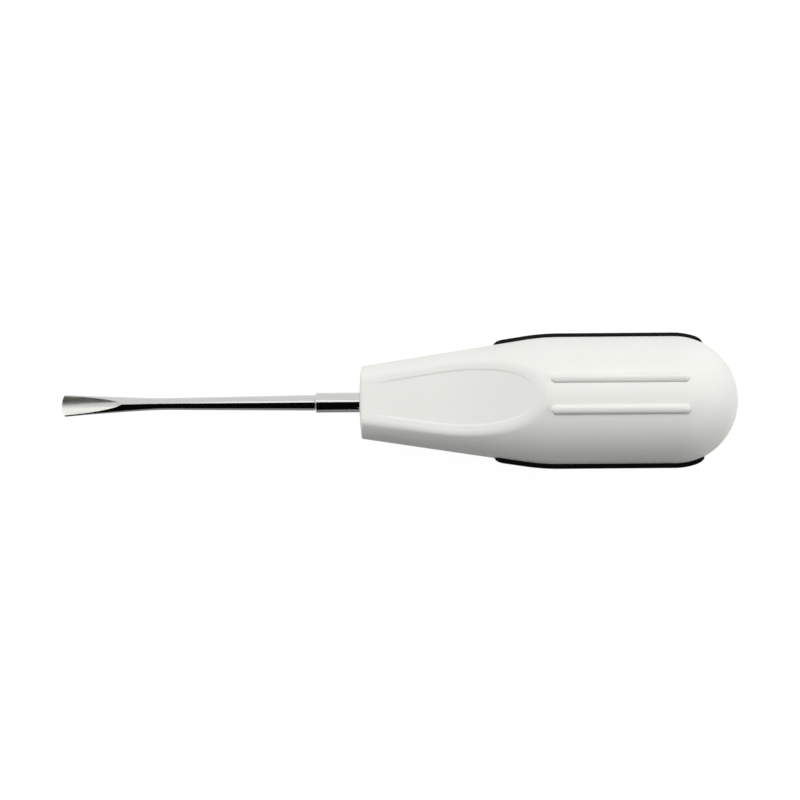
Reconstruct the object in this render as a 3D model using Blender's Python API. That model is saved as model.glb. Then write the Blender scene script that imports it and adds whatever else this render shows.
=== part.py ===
"""Luxating root elevator: a hollow-ground gouge blade on a bent steel shank, set in a moulded
pear-shaped handle with two rubber grip strips.

Metres, +Z up. The instrument lies along X with its blade towards -X and the hollow of the blade
facing up. The origin is under the middle of its length, on the surface that the underside ribs
rest on.
"""

import math

import bmesh
import bpy

# Lengths along the instrument
SHANK_REACH = 0.0566          # blade tip to the front of the collar
COLLAR_LENGTH = 0.0097        # front of the collar to the face of the handle
HANDLE_LENGTH = 0.0837        # face of the handle to its rear end

# Shank, collar and tang
NECK_RADIUS = 0.00136         # where the shank is thinnest, behind the blade
SHANK_ROOT_RADIUS = 0.00177   # where the shank meets the collar
STRAIGHT_LENGTH = 0.0316      # straight part of the shank, in front of the collar
BEND_RADIUS = 0.110
BEND_ANGLE = math.radians(6.8)
ROOT_FILLET = 0.00018
COLLAR_RADIUS = 0.00225
COLLAR_CHAMFER = 0.0002
COLLAR_CONE = 0.00002         # how far the collar's front face falls back at its chamfer
SEAT_DEPTH = 0.006            # part of the collar that sits in the handle
TANG_LENGTH = 0.052           # handle face to the end of the tang
TANG_HALF_WIDTH = 0.0017
TANG_CHAMFER = 0.0005
NOTCH_LENGTH = 0.0028         # two waists that lock the tang in the moulding
NOTCH_DEPTH = 0.0004
NOTCH_RAMP = 0.0004
NOTCH_SPACING = 0.016
NOTCH_COUNT = 2
TANG_SQUARENESS = 7.0         # power of the rounded square section

# Gouge blade
BLADE_WIDTH = 0.0050          # across the cutting end, before its corners are rounded
BLADE_THICKNESS = 0.00236
BLADE_FLARE_LENGTH = 0.022    # tip to the neck
BLADE_FLARE_POWER = 1.25
BLADE_THINNING_LENGTH = 0.011 # the neck thins or thickens to the blade over this length
WING_LIFT = 0.0010            # how far the section's middle rises at the tip
WING_LENGTH = 0.010
SCOOP_LENGTH = 0.0134
SCOOP_RADIUS = 0.0028
SCOOP_SPREAD = math.radians(52)  # half the arc of the hollow, past which its sides run straight
EDGE_THICKNESS = 0.00016
TIP_CORNER_RADIUS = 0.0011
TIP_CROWN_RADIUS = 0.0042     # the cutting edge is slightly crowned

# Handle
FRONT_RADIUS = 0.00795
FRONT_DOME = 0.00044
FRONT_CORNER_RADIUS = 0.0007
TAPER_LENGTH = 0.0404         # handle face to where the taper would meet the belly
SHOULDER_RADIUS = 0.050
BELLY_RADIUS = 0.01415

# Thumb flats, on the top and on the underside
FLAT_HALF_DEPTH = 0.0062      # half the depth of the handle at its front
FLAT_ANGLE = math.radians(4.0)
FLAT_CORNER_RADIUS = 0.0009
DISH_START = 0.0168           # from the handle face, where the flat begins to curve up
PANEL_START = 0.0024
PANEL_HALF_WIDTH = 0.0063     # half the leaf panel's greatest width
PANEL_WIDEST = 0.0247         # from the handle face to where the panel is widest
PANEL_END_SETBACK = 0.0019    # from the panel's end to the end of the taper
PANEL_END_POWER = 2.3         # how blunt the panel's end is; 2 is an ellipse
PANEL_DEPTH = 0.00012
PANEL_DRAFT = 0.0003
PANEL_FADE = 0.009            # length over which the panel gets its depth

# Ribs, two on the top and two on the underside
RIB_HEIGHT = 0.0004           # above the belly's crown
RIB_WIDTH = 0.0025
RIB_EDGE_RADIUS = 0.0010
RIB_SPACING = 0.0067
RIB_SETBACK = 0.0008          # behind the end of the taper
RIB_OVERRUN = 0.0024          # past the middle of the round rear end
RIB_ROOT = 0.0025             # how far a rib reaches into the handle

# Grip strips, one along each side
STRIP_WIDTH = 0.0021
STRIP_DEPTH = 0.0015          # part that sits in the groove
STRIP_PROUD = 0.0009          # part that stands out of the handle
STRIP_EDGE_RADIUS = 0.00045
EDGE_SHARE = 0.8              # most of a strip's width or height that its round edge may take
STRIP_NOSE = 0.0022           # length of the rounded nose at each end
STRIP_FRONT_SETBACK = 0.0298  # from the handle face
STRIP_REAR_SETBACK = 0.0076   # from the rear end of the handle

SEAT_CLEARANCE = 0.0002       # between the handle and what is set in it

# Facets
RING_POINTS = 40
HANDLE_SEGMENTS = 64
SHOULDER_STEPS = 6
REAR_STEPS = 16
CORNER_STEPS = 4
TIP_STEPS = 6
SCOOP_STEPS = 18
BLADE_STATIONS = 14
NOSE_STEPS = 8
DISH_STEPS = 14
PANEL_STATIONS = 22
STRIP_STATIONS = 30
RIB_END_STEPS = 8
DOME_STEPS = 3
SHARP_ANGLE = math.radians(28)
TINY = 0.00005                # smallest half width of a pointed end
WELD_DISTANCE = 0.000001
SEARCH_STEPS = 50             # halvings, when a place is found by trial
CUTTER_MARGIN = 0.003         # how far a cutter reaches past what it cuts

# Places that follow from the sizes above
OVERALL_LENGTH = SHANK_REACH + COLLAR_LENGTH + HANDLE_LENGTH
TIP_X = -OVERALL_LENGTH / 2
COLLAR_X = TIP_X + SHANK_REACH
FACE_X = COLLAR_X + COLLAR_LENGTH
REAR_X = FACE_X + HANDLE_LENGTH
AXIS_Z = BELLY_RADIUS + RIB_HEIGHT
SHOULDER_X = FACE_X + TAPER_LENGTH
REAR_CENTRE_X = REAR_X - BELLY_RADIUS
TAPER_ANGLE = math.atan2(BELLY_RADIUS - FRONT_RADIUS, TAPER_LENGTH)
PANEL_WIDEST_X = FACE_X + PANEL_WIDEST
PANEL_END_X = SHOULDER_X - PANEL_END_SETBACK


def clear_scene():
    for item in list(bpy.data.objects):
        bpy.data.objects.remove(item, do_unlink=True)


def make_material(name, colour, roughness, metallic):
    material = bpy.data.materials.new(name)
    material.use_nodes = True
    shader = material.node_tree.nodes["Principled BSDF"]
    shader.inputs["Base Color"].default_value = (*colour, 1.0)
    shader.inputs["Roughness"].default_value = roughness
    shader.inputs["Metallic"].default_value = metallic
    return material


def add_object(name, mesh_builder, material=None):
    """Put a finished bmesh in the scene, with its faces turned outwards."""
    bmesh.ops.recalc_face_normals(mesh_builder, faces=mesh_builder.faces)
    mesh = bpy.data.meshes.new(name)
    mesh_builder.to_mesh(mesh)
    mesh_builder.free()
    mesh.shade_smooth()
    mesh.set_sharp_from_angle(angle=SHARP_ANGLE)
    piece = bpy.data.objects.new(name, mesh)
    bpy.context.scene.collection.objects.link(piece)
    if material:
        mesh.materials.append(material)
    return piece


def add_tool(name, mesh_builder):
    """A construction solid that cuts or joins, and isn't a piece of its own."""
    tool = add_object(name, mesh_builder)
    tool.hide_render = True
    tool.display_type = "WIRE"
    return tool


def combine(piece, tool, operation):
    modifier = piece.modifiers.new(tool.name, "BOOLEAN")
    modifier.operation = operation
    modifier.solver = "EXACT"
    modifier.object = tool


def loft(rings):
    """Bridge closed rings of points, in order, and cap both ends."""
    builder = bmesh.new()
    loops = []
    for ring in rings:
        points = [builder.verts.new(point) for point in ring]
        closed = zip(points, points[1:] + points[:1])
        loops.append([builder.edges.new(pair) for pair in closed])
    for near, far in zip(loops, loops[1:]):
        bmesh.ops.bridge_loops(builder, edges=near + far)
    for end in (loops[0], loops[-1]):
        bmesh.ops.contextual_create(builder, geom=end)
    return builder


def extrude_outline(points, direction):
    """A prism: one flat outline, extruded once."""
    builder = bmesh.new()
    face = builder.faces.new([builder.verts.new(point) for point in points])
    grown = bmesh.ops.extrude_face_region(builder, geom=[face])
    moved = [item for item in grown["geom"] if isinstance(item, bmesh.types.BMVert)]
    bmesh.ops.translate(builder, verts=moved, vec=direction)
    return builder


def arc_points(centre, radius, start, end, steps):
    """Points on an arc in a plane, both ends included."""
    points = []
    for step in range(steps + 1):
        angle = start + (end - start) * step / steps
        points.append((centre[0] + radius * math.cos(angle), centre[1] + radius * math.sin(angle)))
    return points


def rounded_ring(x, z, half_y, half_z, power=2.0, tilt=0.0):
    """A superellipse across the X axis; a power of 2 is an ellipse. Tilt turns it about Y."""
    ring = []
    for step in range(RING_POINTS):
        angle = math.tau * step / RING_POINTS
        across, up = math.cos(angle), math.sin(angle)
        reach = (abs(across) ** power + abs(up) ** power) ** (-1.0 / power)
        height = half_z * up * reach
        ring.append((x - height * math.sin(tilt), half_y * across * reach, z + height * math.cos(tilt)))
    return ring


# Blade and shank

def shank_line(distance):
    """Middle of the shank at a distance before the collar: place along X, height, slope."""
    bend_length = BEND_RADIUS * BEND_ANGLE
    bent = min(max(distance - STRAIGHT_LENGTH, 0.0), bend_length)
    angle = bent / BEND_RADIUS
    beyond = max(distance - STRAIGHT_LENGTH - bend_length, 0.0)
    straight = min(distance, STRAIGHT_LENGTH)
    reach = straight + BEND_RADIUS * math.sin(angle) + beyond * math.cos(angle)
    drop = BEND_RADIUS * (1 - math.cos(angle)) + beyond * math.sin(angle)
    return COLLAR_X - reach, AXIS_Z - drop, angle


def distance_at(from_tip):
    """Distance before the collar, along the bent line, of a place measured along X from the tip."""
    low, high = 0.0, OVERALL_LENGTH
    for _ in range(SEARCH_STEPS):
        middle = (low + high) / 2
        if shank_line(middle)[0] > TIP_X + from_tip:
            low = middle
        else:
            high = middle
    return low


def blank_ring(from_tip):
    """Section of the blade and shank before the hollow is ground."""
    x, z, slope = shank_line(distance_at(from_tip))
    before_neck = max(0.0, BLADE_FLARE_LENGTH - max(from_tip, 0.0))
    flare = before_neck / BLADE_FLARE_LENGTH
    thinning = min(1.0, before_neck / BLADE_THINNING_LENGTH)
    half_width = NECK_RADIUS + (BLADE_WIDTH / 2 - NECK_RADIUS) * flare ** BLADE_FLARE_POWER
    below = NECK_RADIUS + (BLADE_THICKNESS / 2 - NECK_RADIUS) * thinning
    lift = WING_LIFT * max(0.0, 1 - max(from_tip, 0.0) / WING_LENGTH) ** 2
    up = z + lift * math.cos(slope)
    return rounded_ring(x - lift * math.sin(slope), up, half_width, below + lift, tilt=slope)


def collar_rings(clearance):
    """The part of the collar and the tang that sit in the handle; a clearance makes their pocket."""
    radius = COLLAR_RADIUS + clearance
    half = TANG_HALF_WIDTH + clearance
    seat_end = FACE_X + SEAT_DEPTH + clearance
    tang_end = FACE_X + TANG_LENGTH + clearance
    rings = [rounded_ring(seat_end, AXIS_Z, radius, radius)]

    def square(x, size):
        rings.append(rounded_ring(x, AXIS_Z, size, size, TANG_SQUARENESS))

    square(seat_end + TANG_CHAMFER, half)
    for count in range(1, NOTCH_COUNT + 1):
        middle = FACE_X + SEAT_DEPTH + count * NOTCH_SPACING
        outer = NOTCH_LENGTH / 2 - clearance
        square(middle - outer, half)
        square(middle - outer + NOTCH_RAMP, half - NOTCH_DEPTH)
        square(middle + outer - NOTCH_RAMP, half - NOTCH_DEPTH)
        square(middle + outer, half)
    square(tang_end - TANG_CHAMFER, half)
    square(tang_end, half - TANG_CHAMFER)
    return rings


def scoop_tool():
    """The grinding cut: a trough whose floor climbs from the cutting edge out of the shank's top."""
    start_x, start_z, _ = shank_line(distance_at(0.0))
    end_x = shank_line(distance_at(SCOOP_LENGTH))[0]
    floor_start = start_z - BLADE_THICKNESS / 2 + EDGE_THICKNESS
    floor_end = max(point[2] for point in blank_ring(SCOOP_LENGTH))
    climb = math.atan2(floor_end - floor_start, end_x - start_x)
    down = -math.pi / 2
    centre = (0, SCOOP_RADIUS)
    bottom = arc_points(centre, SCOOP_RADIUS, down - SCOOP_SPREAD, down + SCOOP_SPREAD, SCOOP_STEPS)
    reach = SCOOP_RADIUS + BLADE_WIDTH
    outwards = (reach * math.cos(SCOOP_SPREAD), reach * math.sin(SCOOP_SPREAD))
    left = (bottom[0][0] - outwards[0], bottom[0][1] + outwards[1])
    right = (bottom[-1][0] + outwards[0], bottom[-1][1] + outwards[1])
    run = end_x - start_x + 2 * CUTTER_MARGIN
    begin_x = start_x - CUTTER_MARGIN
    begin_z = floor_start - CUTTER_MARGIN * math.tan(climb)
    outline = [(begin_x, across, begin_z + up) for across, up in [left] + bottom + [right]]
    return add_tool("scoop_cutter", extrude_outline(outline, (run, 0, run * math.tan(climb))))


def tip_tool():
    """Trims the blade's end to its crowned edge and round corners."""
    corner = TIP_CORNER_RADIUS
    crown_x = TIP_X + TIP_CROWN_RADIUS
    corner_y = BLADE_WIDTH / 2 - corner
    turn = math.asin(corner_y / (TIP_CROWN_RADIUS - corner))
    corner_x = crown_x - (TIP_CROWN_RADIUS - corner) * math.cos(turn)
    crown = arc_points((crown_x, 0), TIP_CROWN_RADIUS, math.pi + turn, math.pi - turn, TIP_STEPS)
    upper = arc_points((corner_x, corner_y), corner, math.pi - turn, math.pi / 2, TIP_STEPS)
    lower = [(x, -y) for x, y in reversed(upper)]
    inner = lower + crown[1:-1] + upper
    far = TIP_X - 2 * CUTTER_MARGIN
    side = BLADE_WIDTH / 2 + CUTTER_MARGIN
    outline = [(corner_x, -side), (far, -side), (far, side), (corner_x, side)] + inner[::-1]
    points = [(x, y, 0) for x, y in outline]
    return add_tool("tip_trimmer", extrude_outline(points, (0, 0, 2 * AXIS_Z)))


def build_blade(steel):
    bend_start = SHANK_REACH - STRAIGHT_LENGTH
    stations = [BLADE_FLARE_LENGTH * step / BLADE_STATIONS for step in range(BLADE_STATIONS + 1)]
    stations = [-CUTTER_MARGIN] + stations + [(stations[-1] + bend_start) / 2, bend_start]
    rings = [blank_ring(from_tip) for from_tip in stations]
    fillet_centre = (COLLAR_X - ROOT_FILLET, SHANK_ROOT_RADIUS + ROOT_FILLET)
    turned = arc_points(fillet_centre, ROOT_FILLET, -math.pi / 2, 0, CORNER_STEPS)
    turned.append((COLLAR_X + COLLAR_CONE, COLLAR_RADIUS - COLLAR_CHAMFER))
    turned.append((COLLAR_X + COLLAR_CHAMFER, COLLAR_RADIUS))
    rings += [rounded_ring(x, AXIS_Z, radius, radius) for x, radius in turned]
    rings += collar_rings(0.0)
    blade = add_object("blade_shank", loft(rings), steel)
    combine(blade, scoop_tool(), "DIFFERENCE")
    combine(blade, tip_tool(), "DIFFERENCE")


# Handle

def handle_radius(x):
    """Outer radius of the turned form at a place along X, behind the front corner."""
    tangent = SHOULDER_RADIUS * math.tan(TAPER_ANGLE / 2)
    shoulder_end = SHOULDER_X + tangent
    shoulder_start = SHOULDER_X - tangent * math.cos(TAPER_ANGLE)
    if x < shoulder_start:
        return BELLY_RADIUS - (SHOULDER_X - x) * math.tan(TAPER_ANGLE)
    if x < shoulder_end:
        drop = SHOULDER_RADIUS - math.sqrt(SHOULDER_RADIUS ** 2 - (shoulder_end - x) ** 2)
        return BELLY_RADIUS - drop
    if x < REAR_CENTRE_X:
        return BELLY_RADIUS
    return math.sqrt(max(0.0, BELLY_RADIUS ** 2 - (x - REAR_CENTRE_X) ** 2))


def handle_profile():
    """Half outline of the handle, from the middle of its face to the end of its round rear."""
    corner = FRONT_CORNER_RADIUS
    rim_x = FACE_X + FRONT_DOME
    rim = FRONT_RADIUS - corner
    shares = [step / DOME_STEPS for step in range(DOME_STEPS)]
    points = [(FACE_X + FRONT_DOME * share ** 2, rim * share) for share in shares]
    points += arc_points((rim_x + corner, rim), corner, math.pi, math.pi / 2 + TAPER_ANGLE, CORNER_STEPS)
    tangent = SHOULDER_RADIUS * math.tan(TAPER_ANGLE / 2)
    shoulder_start = SHOULDER_X - tangent * math.cos(TAPER_ANGLE)
    shoulder_end = SHOULDER_X + tangent
    for step in range(SHOULDER_STEPS + 1):
        x = shoulder_start + (shoulder_end - shoulder_start) * step / SHOULDER_STEPS
        points.append((x, handle_radius(x)))
    points += arc_points((REAR_CENTRE_X, 0), BELLY_RADIUS, math.pi / 2, 0, REAR_STEPS)
    return points


def flat_height(x):
    """Half depth of the handle between its thumb flats, at a place along X."""
    start_x = FACE_X + DISH_START
    straight = FLAT_HALF_DEPTH + (min(x, start_x) - FACE_X) * math.tan(FLAT_ANGLE)
    if x <= start_x:
        return straight
    run = SHOULDER_X - start_x
    rise = BELLY_RADIUS - straight
    radius = (run ** 2 + rise ** 2) / (2 * (rise * math.cos(FLAT_ANGLE) - run * math.sin(FLAT_ANGLE)))
    sine = math.sin(FLAT_ANGLE) + (x - start_x) / radius
    return straight + radius * (math.cos(FLAT_ANGLE) - math.sqrt(1 - sine ** 2))


def flat_tool(name, side):
    """Cuts one thumb flat: a round front corner, a straight flat, then a dish up to the belly."""
    corner = FLAT_CORNER_RADIUS
    front = FLAT_HALF_DEPTH
    outline = [(FACE_X - CUTTER_MARGIN, front - corner)]
    outline += arc_points((FACE_X + corner, front - corner), corner, math.pi, math.pi / 2 + FLAT_ANGLE,
                          CORNER_STEPS)
    start_x = FACE_X + DISH_START
    for step in range(DISH_STEPS + 1):
        x = start_x + (SHOULDER_X - start_x) * step / DISH_STEPS
        outline.append((x, flat_height(x)))
    last_x, last_z = outline[-1]
    before_x, before_z = outline[-2]
    steepness = (last_z - before_z) / (last_x - before_x)
    outline.append((last_x + CUTTER_MARGIN / steepness, last_z + CUTTER_MARGIN))
    outline.append((FACE_X - CUTTER_MARGIN, last_z + CUTTER_MARGIN))
    reach = BELLY_RADIUS + CUTTER_MARGIN
    points = [(x, -reach, AXIS_Z + side * z) for x, z in outline]
    return add_tool(name, extrude_outline(points, (0, 2 * reach, 0)))


def flat_half_width(x):
    return math.sqrt(max(0.0, handle_radius(x) ** 2 - flat_height(x) ** 2))


def panel_half_width(x):
    """An even margin inside the flat's edge up to the widest place, then a blunt round end."""
    if x < PANEL_WIDEST_X:
        return PANEL_HALF_WIDTH - (flat_half_width(PANEL_WIDEST_X) - flat_half_width(x))
    share = min(1.0, (x - PANEL_WIDEST_X) / (PANEL_END_X - PANEL_WIDEST_X))
    return PANEL_HALF_WIDTH * (1 - share ** PANEL_END_POWER) ** (1 / PANEL_END_POWER)


def panel_tool(name, side):
    """Sinks the leaf panel into one thumb flat, with sloping walls and a front that fades out."""
    start, end = FACE_X + PANEL_START, PANEL_END_X
    rings = []
    for station in range(PANEL_STATIONS + 1):
        x = start + (end - start) * math.sin(math.pi / 2 * station / PANEL_STATIONS)
        width = max(panel_half_width(x), TINY)
        fade = min(1.0, (x - start) / PANEL_FADE, (width - TINY) / PANEL_DRAFT)
        floor = flat_height(x) - PANEL_DEPTH * fade + TINY / 2
        above = flat_height(x) + PANEL_DEPTH
        floor_width = max(width - PANEL_DRAFT * fade, TINY / 2)
        top_width = width + PANEL_DRAFT
        section = [(floor_width, floor), (top_width, above), (-top_width, above), (-floor_width, floor)]
        rings.append([(x, y, AXIS_Z + side * z) for y, z in section])
    return add_tool(name, loft(rings))


def rib_tool(name, y, side):
    """One rib: a bar with round ends, rounded edges and a flat crown."""
    half = RIB_WIDTH / 2
    front_x = SHOULDER_X + RIB_SETBACK + half
    rear_x = REAR_CENTRE_X + RIB_OVERRUN - half
    crown = BELLY_RADIUS + RIB_HEIGHT
    edge = RIB_EDGE_RADIUS
    levels = [(half, crown - edge - RIB_ROOT)]
    levels += arc_points((half - edge, crown - edge), edge, 0, math.pi / 2, CORNER_STEPS)
    rings = []
    for radius, height in levels:
        front = arc_points((front_x, y), radius, math.pi / 2, 3 * math.pi / 2, RIB_END_STEPS)
        rear = arc_points((rear_x, y), radius, -math.pi / 2, math.pi / 2, RIB_END_STEPS)
        rings.append([(across, along, AXIS_Z + side * height) for across, along in front + rear])
    return add_tool(name, loft(rings))


def side_direction(x):
    """Direction of the handle's side outline at a place along X, as cosine and sine."""
    rise = handle_radius(x + TINY) - handle_radius(x - TINY)
    size = math.hypot(2 * TINY, rise)
    return 2 * TINY / size, rise / size


def strip_rings(side, clearance):
    """Sections of a strip along its groove; a clearance makes the groove, open to the outside."""
    start = FACE_X + STRIP_FRONT_SETBACK - clearance
    end = REAR_X - STRIP_REAR_SETBACK + clearance
    half = STRIP_WIDTH / 2 + clearance
    depth = STRIP_DEPTH + clearance
    nose = [STRIP_NOSE * (1 - math.cos(math.pi / 2 * step / NOSE_STEPS)) for step in range(NOSE_STEPS + 1)]
    inner = end - start - 2 * STRIP_NOSE
    places = [start + value for value in nose]
    places += [start + STRIP_NOSE + inner * step / STRIP_STATIONS for step in range(1, STRIP_STATIONS)]
    places += [end - value for value in reversed(nose)]
    rings = []
    for x in places:
        cosine, sine = side_direction(x)
        from_end = min(x - start, end - x) / cosine
        width_share = min(1.0, from_end / half)
        width = max(half * math.sqrt(1 - (1 - width_share) ** 2), TINY)
        nose_share = min(1.0, from_end / STRIP_NOSE)
        proud = STRIP_PROUD * math.sqrt(1 - (1 - nose_share) ** 2)
        if clearance:
            proud = STRIP_PROUD + CUTTER_MARGIN
        edge = min(STRIP_EDGE_RADIUS, EDGE_SHARE * width, EDGE_SHARE * proud + TINY)
        section = [(-depth, -width)]
        section += arc_points((proud - edge, edge - width), edge, -math.pi / 2, 0, CORNER_STEPS)
        section += arc_points((proud - edge, width - edge), edge, 0, math.pi / 2, CORNER_STEPS)
        section += [(-depth, width)]
        radius = handle_radius(x)
        rings.append([(x - sine * out, side * (radius + cosine * out), AXIS_Z + up) for out, up in section])
    return rings


def build_handle(plastic):
    builder = bmesh.new()
    points = [builder.verts.new((x, 0, AXIS_Z + radius)) for x, radius in handle_profile()]
    edges = [builder.edges.new(pair) for pair in zip(points, points[1:])]
    bmesh.ops.spin(builder, geom=points + edges, cent=(0, 0, AXIS_Z), axis=(1, 0, 0),
                   angle=math.tau, steps=HANDLE_SEGMENTS, use_duplicate=False)
    bmesh.ops.remove_doubles(builder, verts=builder.verts, dist=WELD_DISTANCE)
    handle = add_object("handle_body", builder, plastic)
    for name, side in (("top", 1), ("underside", -1)):
        combine(handle, flat_tool(name + "_flat_cutter", side), "DIFFERENCE")
        combine(handle, panel_tool(name + "_panel_cutter", side), "DIFFERENCE")
    for name, side in (("left", 1), ("right", -1)):
        groove = add_tool(name + "_groove_cutter", loft(strip_rings(side, SEAT_CLEARANCE)))
        combine(handle, groove, "DIFFERENCE")
    mouth = COLLAR_RADIUS + SEAT_CLEARANCE
    pocket = [rounded_ring(FACE_X - CUTTER_MARGIN, AXIS_Z, mouth, mouth)] + collar_rings(SEAT_CLEARANCE)
    combine(handle, add_tool("tang_pocket_cutter", loft(pocket)), "DIFFERENCE")
    for name, side in (("top", 1), ("underside", -1)):
        for place, y in (("left", RIB_SPACING / 2), ("right", -RIB_SPACING / 2)):
            combine(handle, rib_tool(name + "_rib_" + place, y, side), "UNION")


def build_strips(rubber):
    for name, side in (("grip_strip_left", 1), ("grip_strip_right", -1)):
        add_object(name, loft(strip_rings(side, 0.0)), rubber)


def main():
    clear_scene()
    steel = make_material("polished_steel", colour=(0.62, 0.62, 0.61), roughness=0.18, metallic=1.0)
    plastic = make_material("white_plastic", colour=(0.82, 0.82, 0.80), roughness=0.42, metallic=0.0)
    rubber = make_material("black_rubber", colour=(0.012, 0.010, 0.010), roughness=0.55, metallic=0.0)
    build_blade(steel)
    build_handle(plastic)
    build_strips(rubber)


main()
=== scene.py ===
"""Looks of the luxating root elevator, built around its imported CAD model.

Metres, in the model's own frame: the instrument lies along X with its blade towards -X, the hollow
of the blade and the upper thumb flat face up, and the underside ribs rest on the floor at z = 0.
Every CAD node is replaced by a finer piece of its own size: the blade has narrower rims, the edges
of the handle's forms are softer, and the strips fit their grooves closely.
"""
import math

import bmesh
import bpy
from mathutils import Matrix, Vector


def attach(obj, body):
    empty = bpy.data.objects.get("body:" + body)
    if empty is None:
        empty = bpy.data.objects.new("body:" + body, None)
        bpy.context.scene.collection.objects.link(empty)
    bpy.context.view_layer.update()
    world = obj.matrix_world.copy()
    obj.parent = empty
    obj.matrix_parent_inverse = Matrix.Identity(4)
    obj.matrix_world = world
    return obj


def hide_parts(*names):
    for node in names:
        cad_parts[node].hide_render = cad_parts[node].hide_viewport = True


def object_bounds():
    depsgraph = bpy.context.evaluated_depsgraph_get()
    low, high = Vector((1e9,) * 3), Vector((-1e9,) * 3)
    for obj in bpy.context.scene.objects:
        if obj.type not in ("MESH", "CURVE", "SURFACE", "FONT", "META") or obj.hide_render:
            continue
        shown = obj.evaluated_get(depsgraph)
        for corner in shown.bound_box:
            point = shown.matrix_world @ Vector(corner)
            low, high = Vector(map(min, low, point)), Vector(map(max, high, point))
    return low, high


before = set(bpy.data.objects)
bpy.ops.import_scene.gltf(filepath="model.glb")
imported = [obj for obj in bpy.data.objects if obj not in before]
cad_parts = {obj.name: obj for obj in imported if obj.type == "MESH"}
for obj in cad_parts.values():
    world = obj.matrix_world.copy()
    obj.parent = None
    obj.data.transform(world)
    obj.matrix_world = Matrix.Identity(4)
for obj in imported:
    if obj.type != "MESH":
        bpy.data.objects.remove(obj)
cad_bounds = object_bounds()

bl_info = {
    "name": "Luxating Root Elevator",
    "version": (1, 0, 0),
    "blender": (4, 5, 0),
    "location": "3D View > Sidebar > Elevator",
    "description": "Builds a luxating root elevator and the stage it is photographed on",
    "category": "Add Mesh",
}

# The model's own extent, which every length below is measured from
TIP_X = cad_bounds[0][0]
REAR_X = cad_bounds[1][0]

# Facets
RING_POINTS = 96
BLADE_STATIONS = 72
SHANK_STATIONS = 18
SCOOP_STEPS = 96
TIP_STEPS = 16
CORNER_STEPS = 6
FACE_RINGS = (0.32, 0.45, 0.6, 0.75, 0.9)
STRIP_STATIONS = 90
STRIP_NOSE_STEPS = 14
STRIP_CORNER_STEPS = 5
RIB_END_SEGMENTS = 16
RIB_EDGE_SEGMENTS = 6
REAR_STEPS = 28
SEARCH_STEPS = 50

# Columns of the handle's skin in a quarter turn, from the middle of the thumb flat to the strip,
# and how close they are packed along the edges of its forms
PANEL_COLUMNS = 12
WALL_COLUMNS = 5
MARGIN_COLUMNS = 8
CREASE_COLUMNS = 8
SIDE_COLUMNS = 22
LEAST_COLUMN = 0.00012
HALF_CREASE = 0.0009
WALL_LEAD = 1 / 3
WALL_PASSES = 3
SIDE_COSINE = 0.05
COLUMN_SPREAD = 0.012

# Sections of the handle's skin: the gaps between them, and where they stand close together
TAPER_GAP = 0.00042
CLOSE_GAP = 0.00009
BELLY_GAP = 0.0008
CLOSE_BEFORE = 0.0026
CLOSE_BEHIND = 0.0006
FRONT_GAP = 0.0002
POLE_GAP = 0.000002

# Shared ways of building
TINY = 0.00005
MERGE_DISTANCE = 0.000002
CUTTER_MARGIN = 0.003
TANG_SQUARENESS = 7.0
TANG_WAISTS = 2
RIB_END_GAP = 0.00001
LEVEL_NORMAL = 0.5
STRIP_EDGE_SHARE = 0.8

# Angles in degrees over which an edge is shaded sharp
BLADE_SHARP = 24
HANDLE_SHARP = 30
STRIP_SHARP = 40

# Patterns: noise features per metre along each axis, how much of the noise's range is used, and
# how far it moves the tone, the roughness and the surface
LINE_DETAIL = 3.0
CLOUD_DETAIL = 2.0
NARROW_RANGE = (0.35, 0.65)
BROAD_RANGE = (0.3, 0.7)
STEEL_LINES = (150.0, 9000.0, 9000.0)
STEEL_CLOUD = (260.0, 600.0, 600.0)
STEEL_TONES = (0.93, 1.05)
STEEL_ROUGH_SHARES = (0.75, 1.3)
STEEL_ROUGH_DRIFT = (-0.02, 0.02)
STEEL_BUMP = (0.15, 0.000004)
PLASTIC_SPECULAR = 0.45
PLASTIC_CLOUD = (70.0, 70.0, 70.0)
PLASTIC_GRAIN = (5200.0, 5200.0, 5200.0)
PLASTIC_TONES = (0.985, 1.01)
PLASTIC_ROUGH_DRIFT = (-0.04, 0.05)
PLASTIC_BUMP = (0.12, 0.000012)
RUBBER_SPECULAR = 0.12
RUBBER_CLOUD = (300.0, 300.0, 300.0)
RUBBER_GRAIN = (7000.0, 7000.0, 7000.0)
RUBBER_TONES = (0.8, 1.3)
RUBBER_ROUGH_DRIFT = (-0.06, 0.08)
RUBBER_BUMP = (0.2, 0.00001)
WHITE = (1.0, 1.0, 1.0, 1.0)

# Places of a Mix node's sockets, whose names are the same for numbers and for colours
NUMBER_A, NUMBER_B, NUMBER_RESULT = 2, 3, 0
COLOUR_A, COLOUR_B, COLOUR_RESULT = 6, 7, 2

# Stage, in metres around the middle of the instrument
PICTURE_SHIFT = (0.0003, 0.0005)
KEY_PLACE = (-0.25, 0.40, 0.88)
KEY_SIZE = (0.9, 0.5)
REAR_PLACE = (1.0, 0.0, 0.33)
REAR_SIZE = (0.5, 0.4)
FRONT_PLACE = (-1.0, -0.1, 0.45)
FRONT_SIZE = (0.5, 0.4)
CARD_REACH = 1.0
BLACK_CARD_FOOT = (-0.16, 0.001)
BLACK_CARD_TOP = (0.018, 0.5)
BLACK_CARD_LEVEL = 0.003
GREY_CARD_NEAR = (-0.012, 0.001)
GREY_CARD_LEVEL = 0.32
WHITE_CARD_FAR = (0.20, 0.5)
WHITE_CARD_START = -0.099
WHITE_CARD_LEVEL = 1.5
FLOOR_GLOW = 1.12
FLOOR_GLOW_SHARE = 0.86
FLOOR_ROUGHNESS = 0.9
FLOOR_SPECULAR = 0.1
SKY_LEFT = 0.46
SKY_RIGHT = 0.10
SKY_TURN = 0.6
SENSOR_WIDTH = 36.0
CLIP_START = 0.01


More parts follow.
